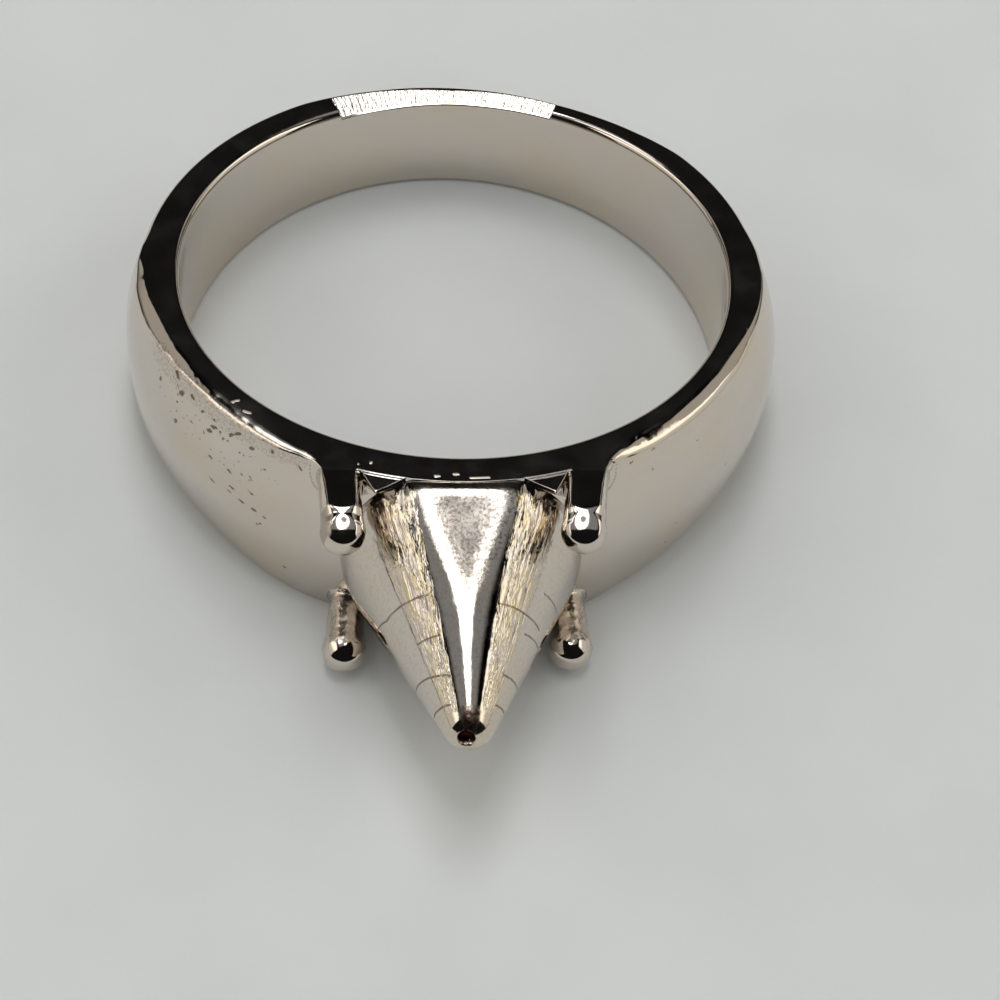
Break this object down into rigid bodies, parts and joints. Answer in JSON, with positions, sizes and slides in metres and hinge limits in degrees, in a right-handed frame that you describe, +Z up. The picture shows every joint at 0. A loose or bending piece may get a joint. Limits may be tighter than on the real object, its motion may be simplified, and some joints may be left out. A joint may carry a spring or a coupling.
{
  "type": "spike ring",
  "caption": "Polished finger ring lying on its side, its band taller at the front, with a round pointed spike set between short ball-ended prongs.",
  "frame": {"origin": "foot of the finger hole's axis, in the plane that the lower rim rests on", "axes": "+Z up from the surface that the ring lies on, -Y along the table towards the spike's tip, +X to the right seen from the spike. The finger hole's axis leans 4.39 degrees from +Z towards +Y, because the band is taller at the spike"},
  "size_m": [0.0204, 0.0263, 0.0066],
  "materials": {
    "band_metal": "polished silver tone plate, worn and pitted on the shoulders",
    "spike_metal": "turned and polished silver tone plate with a slight orange peel"
  },
  "bodies": {
    "root": {"band": "band_metal", "spike": "spike_metal"}
  },
  "joints": []
}
